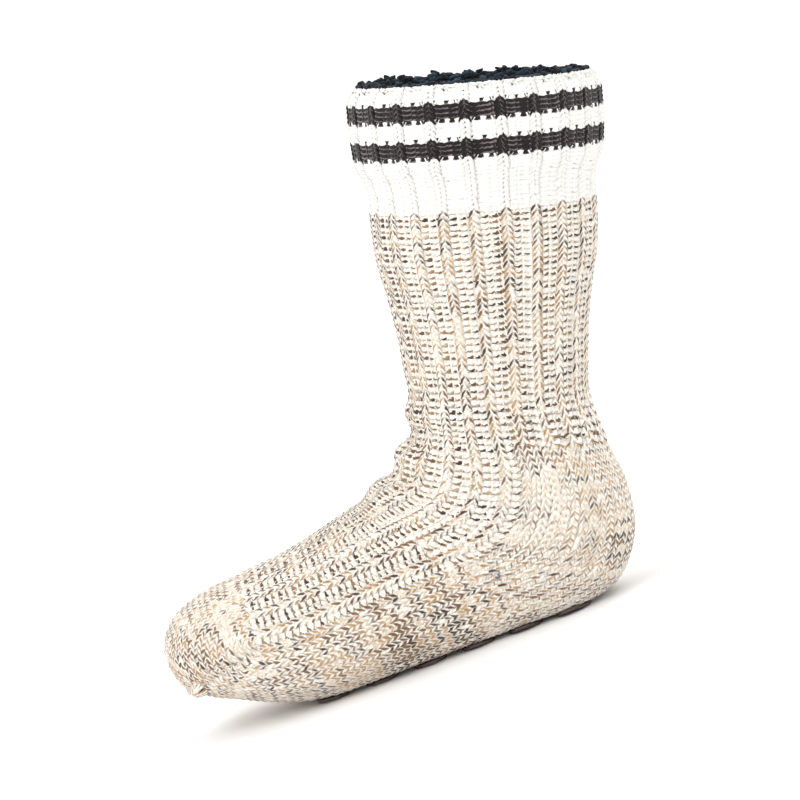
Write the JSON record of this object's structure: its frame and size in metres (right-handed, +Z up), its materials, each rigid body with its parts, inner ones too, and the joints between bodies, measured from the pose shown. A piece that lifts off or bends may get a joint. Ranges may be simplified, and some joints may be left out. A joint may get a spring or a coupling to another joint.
{
  "type": "house sock",
  "caption": "Knitted house sock that stands on its sole: ribbed marl leg, doubled cream cuff with dark stripes, plain-knit heel and toe, fleece lining and grip pads underneath.",
  "frame": {"origin": "bottom centre of the sock's box, on the floor under the grip pads", "axes": "+X from toe to heel, +Y across the foot, +Z up"},
  "size_m": [0.3164, 0.125, 0.2945],
  "materials": {
    "knit": "chunky marl wool-blend knit, cream and tan",
    "fleece": "dark curly sherpa fleece",
    "grip": "matt dark anti-slip print"
  },
  "bodies": {
    "root": {"knit_upper": "knit", "fleece_lining": "fleece", "grip_pad_1": "grip", "grip_pad_2": "grip", "grip_pad_3": "grip", "grip_pad_4": "grip", "grip_pad_5": "grip", "grip_pad_6": "grip"}
  },
  "joints": []
}
